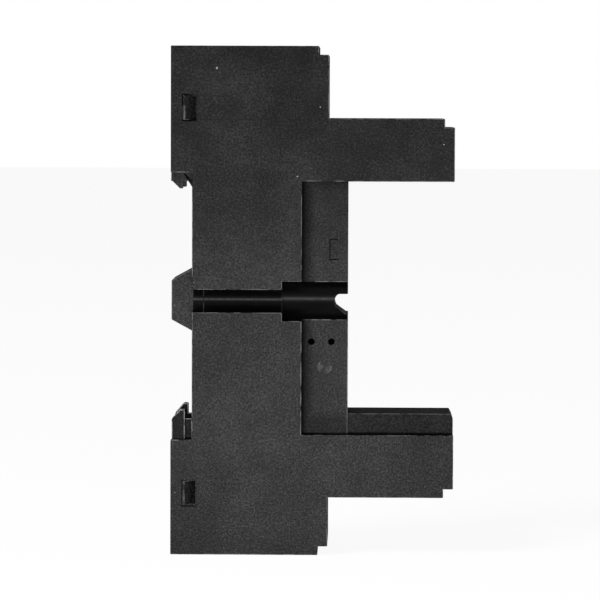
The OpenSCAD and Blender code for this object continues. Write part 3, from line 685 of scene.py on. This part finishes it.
def mark_grooves(bm):
    """Marks the polished side grooves, paints shade into them, and gives their faces the normals of true
    rounds.
    """
    polished = face_mark(bm, "polished")
    painted_shade = face_mark(bm, "painted_shade")
    wall_gap = 0.04 * MM
    carried = bm.loops.layers.float_vector.new("bore_normal")
    for face in bm.faces:
        radii = [math.hypot(GROOVE_Y - abs(vert.co.y), vert.co.z) for vert in face.verts]
        on_groove = any(
            max(abs(radius - wall) for radius in radii) < wall_gap
            for wall in (SHANK_GROOVE_R, HEAD_GROOVE_R)
        )
        if not on_groove or abs(face.normal.x) > 0.1:
            continue
        face[polished] = 1.0
        # painted shade in the grooves
        face[painted_shade] = 0.45
        axis = math.copysign(GROOVE_Y, face.calc_center_median().y)
        for loop in face.loops:
            loop[carried] = Vector((0, axis - loop.vert.co.y, -loop.vert.co.z)).normalized()


def mark_side_fields(bm):
    """Marks the recessed side faces, paints shade into the pin holes and round the pocket's border, and
    paints the ring pale as wear and a highlight.
    """
    rim = face_mark(bm, "rim")
    painted_shade = face_mark(bm, "painted_shade")
    recess = face_mark(bm, "recess")
    ring = Vector((BLOCK_X - 3.41 * MM, -9.83 * MM))
    ring_outer = 1.07 * MM
    disc_outer = 0.97 * MM
    holes = [Vector((BLOCK_X - back, -6.07 * MM)) for back in (5.38 * MM, 2.42 * MM)]
    hole_outer = 0.52 * MM
    pocket = Vector((BLOCK_X - 2.1 * MM, 7.575 * MM))
    pocket_depth = 0.25 * MM
    border_w = 0.19 * MM
    floors = []
    for face in bm.faces:
        middle = face.calc_center_median()
        depth = RECESS_Y - abs(middle.y)
        spot = Vector((middle.x, middle.z))
        sideways = abs(face.normal.y) > FACING
        if abs(depth) < LIFT and sideways and middle.x > RECESS_X:
            face[recess] = 1.0
        if not -0.01 * MM < depth < 2.4 * MM:
            continue
        # painted shade: the pin holes are painted near black
        if depth > 0.05 * MM and min((spot - hole).length for hole in holes) < hole_outer:
            face[painted_shade] = 1.0
        # the ring and its disc are painted pale, as wear and as a painted highlight
        reach = max((Vector((vert.co.x, vert.co.z)) - ring).length for vert in face.verts)
        if reach < ring_outer and sideways:
            face[rim] = 1.0 if reach > disc_outer else 0.35
        away = spot - pocket
        if max(abs(away.x), abs(away.y)) < 0.1 * MM and abs(depth - pocket_depth) < LIFT:
            floors.append(face)
    # painted shade round the pocket's border
    border = bmesh.ops.inset_individual(bm, faces=floors, thickness=border_w)
    for face in border["faces"]:
        if face.calc_center_median().x < BLOCK_X - 1.6 * MM:
            face[painted_shade] = 1.0


def paint_lower_rib_shade(bm):
    """Paints shade on the rib that stands on the lower arm: a dark top, dim sides and a dark ledge."""
    painted_shade = face_mark(bm, "painted_shade")
    for face in bm.faces:
        middle = face.calc_center_median()
        if middle.x < BLOCK_X + 0.5 * MM or not -19.75 * MM < middle.z < -15.9 * MM:
            continue
        if face.normal.z > FACING:
            face[painted_shade] = 0.85
        elif abs(face.normal.y) > FACING and 4 * MM < abs(middle.y) < 6 * MM:
            face[painted_shade] = 0.4


def make_housing():
    """The housing, with its release slot, polished grooves, side marks and painted shade."""
    bm = merged_copy("housing")
    open_release_slot(bm)
    mark_grooves(bm)
    mark_side_fields(bm)
    paint_lower_rib_shade(bm)
    edges = outer_edges(
        bm, NOT_BEHIND, lambda middle: not (is_side_mark(middle) or is_snap_window(middle))
    )
    soften(bm, edges, MOULD_EDGE)
    return finish_piece("housing_moulding", bm, "socket", HOUSING_BLACK, "housing")


def make_cover():
    """The base cover, set in beside the mouth of the hook so that each lip stands proud."""
    inset = 1.0 * MM
    fronts = (-1.45 * MM, 0.02 * MM)
    heights = (MOUTH_Z - MM, MOUTH_Z + 1.35 * MM)
    bm = carve(merged_copy("base_cover"), side_boxes(COVER_HIGH.y, inset, fronts, heights))
    mark_grooves(bm)
    soften(bm, outer_edges(bm, AROUND), MOULD_EDGE)
    return finish_piece("base_cover_moulding", bm, "socket", COVER_BLACK, "base_cover")


def make_latch():
    """The rail latch, its ledge below the rail's edge set in from the side of each prong."""
    inset = 1.3 * MM
    fronts = (-1.1 * MM, MM)
    heights = (-21.25 * MM, MM - MOUTH_Z)
    bm = carve(merged_copy("rail_latch"), side_boxes(LATCH_HIGH.y, inset, fronts, heights))
    soften(bm, outer_edges(bm, AROUND), MOULD_EDGE)
    return finish_piece("rail_latch_moulding", bm, "latch", LATCH_BLACK, "rail_latch")


make_housing()
make_cover()
make_latch()
make_spring()
for terminal in TERMINALS:
    make_screw(terminal)
    make_moulding(
        "clamp_cage_" + terminal, "cage_" + terminal, "cage_" + terminal, CAGE_ZINC,
        STRIP_EDGE, AROUND
    )
    make_moulding(
        "contact_strip_" + terminal, "contact_" + terminal, "socket", CONTACT_BRASS,
        STRIP_EDGE, AROUND
    )


# ---------------------------------------------------------------- floor, light and camera

def make_floor():
    """A pale floor under the lower end, white to the camera and still darkened by the shadow."""
    half = 3.0
    glow_share = 0.88
    bm = bmesh.new()
    bmesh.ops.create_grid(bm, x_segments=1, y_segments=1, size=half)
    bmesh.ops.translate(bm, verts=bm.verts, vec=(0, 0, HOUSING_LOW.z - LIFT))
    mesh = bpy.data.meshes.new("floor")
    bm.to_mesh(mesh)
    bm.free()
    floor = bpy.data.objects.new("floor", mesh)
    bpy.context.scene.collection.objects.link(floor)
    material = bpy.data.materials.new("pale_floor")
    material.use_nodes = True
    tree = material.node_tree
    tree.nodes.clear()
    seen = seen_directly(tree)
    matt = add_node(tree, "BsdfDiffuse", Color=(0.9, 0.9, 0.9, 1))
    glow = add_node(tree, "Emission", Color=(1, 1, 1, 1), Strength=1.06)
    mixed = tree.nodes.new("ShaderNodeMixShader")
    tree.links.new(scaled(tree, seen, glow_share), mixed.inputs[0])
    tree.links.new(matt.outputs[0], mixed.inputs[1])
    tree.links.new(glow.outputs[0], mixed.inputs[2])
    out = tree.nodes.new("ShaderNodeOutputMaterial")
    tree.links.new(mixed.outputs[0], out.inputs["Surface"])
    mesh.materials.append(material)


def seen_directly(tree):
    """1 for the camera's rays and for those that metal or glass sends on."""
    path = tree.nodes.new("ShaderNodeLightPath")
    total = maths(tree, "ADD", path.outputs["Is Camera Ray"], path.outputs["Is Glossy Ray"])
    return maths(tree, "ADD", total, path.outputs["Is Transmission Ray"], clamp=True)


def make_world():
    """A dim, even surround that is white where it is seen directly."""
    ambient = 0.12
    world = bpy.data.worlds.new("studio")
    bpy.context.scene.world = world
    world.use_nodes = True
    tree = world.node_tree
    tree.nodes.clear()
    sky = add_node(tree, "Background", Color=(1, 1, 1, 1))
    tree.links.new(ramp(tree, seen_directly(tree), 0, 1, ambient, 1.0), sky.inputs["Strength"])
    out = tree.nodes.new("ShaderNodeOutputWorld")
    tree.links.new(sky.outputs[0], out.inputs["Surface"])


def make_lamp(name, place, aim, size, watts):
    light = bpy.data.lights.new(name, "AREA")
    light.shape = "RECTANGLE"
    light.size = size[0]
    light.size_y = size[1]
    light.energy = watts
    lamp = bpy.data.objects.new(name, light)
    lamp.location = place
    lamp.rotation_euler = (Vector(aim) - Vector(place)).to_track_quat("-Z", "Y").to_euler()
    bpy.context.scene.collection.objects.link(lamp)


def make_camera():
    place = Vector((24.05, -507.75, 29.08)) * MM
    aim = Vector((15.91, -7.75, 0.22)) * MM
    roll = math.radians(0.2)
    data = bpy.data.cameras.new("camera")
    data.lens = 204.4
    data.sensor_width = 36
    data.clip_start = 0.01
    camera = bpy.data.objects.new("camera", data)
    camera.location = place
    turn = (aim - place).to_track_quat("-Z", "Y") @ Quaternion((0, 0, 1), roll)
    camera.rotation_euler = turn.to_euler()
    bpy.context.scene.collection.objects.link(camera)
    bpy.context.scene.camera = camera


make_floor()
make_world()
make_lamp("key", (-0.4, -0.35, 0.45), (0.018, 0, 0), (0.3, 0.3), 3.3)
make_lamp("low", (0.01, -0.16, -0.028), (0.01, 0, -0.02), (0.06, 0.012), 0.14)
make_camera()
bpy.context.scene.view_settings.view_transform = "Standard"
